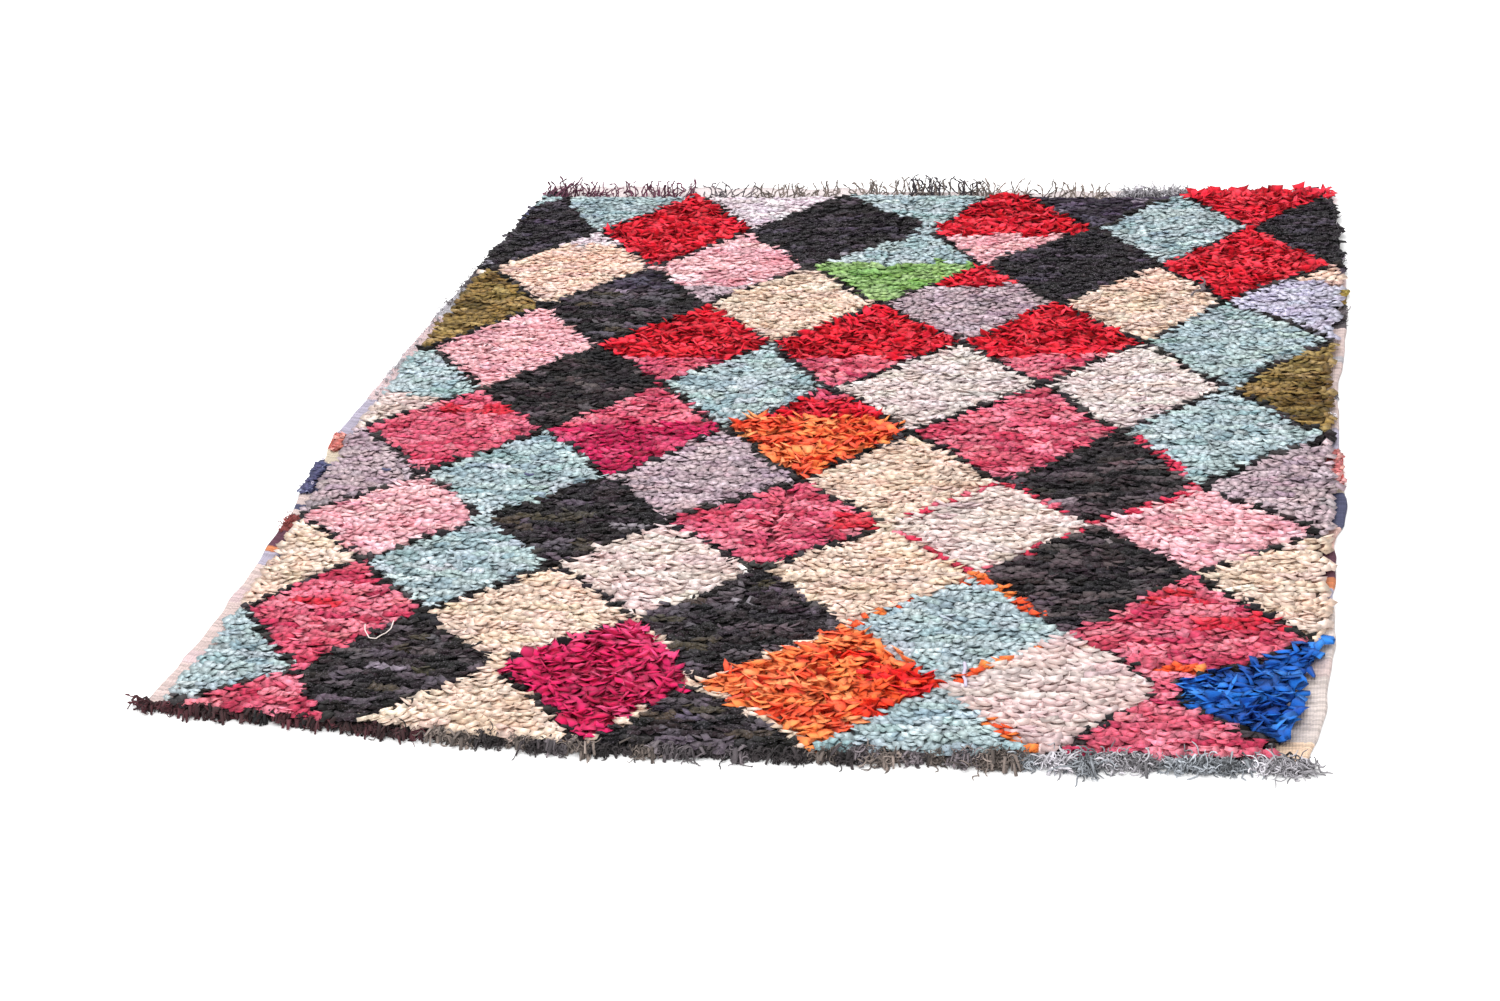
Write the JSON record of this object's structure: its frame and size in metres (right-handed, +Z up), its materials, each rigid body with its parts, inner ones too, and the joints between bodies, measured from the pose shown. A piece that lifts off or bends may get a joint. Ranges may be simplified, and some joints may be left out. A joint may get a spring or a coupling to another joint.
{
  "type": "boucherouite rug",
  "caption": "Shaggy rag-pile floor rug with a diamond pattern on a flat woven ground, lying flat, with short yarn fringe at both ends.",
  "frame": {"origin": "on the floor plane under the middle of the rug's box", "axes": "+X across the rug, +Y along it from the near end to the far end, +Z up from the floor"},
  "size_m": [1.562, 1.9571, 0.0329],
  "materials": {
    "ground_weave": "matt wool and cotton flat weave",
    "pile": "matt cut rags of jersey and woven cloth, in many colours",
    "fringe_far": "matt twisted wool yarn",
    "fringe_near": "matt frizzy wool yarn"
  },
  "bodies": {
    "root": {"ground_weave": "ground_weave", "pile": "pile", "fringe_far": "fringe_far", "fringe_near": "fringe_near"}
  },
  "joints": []
}
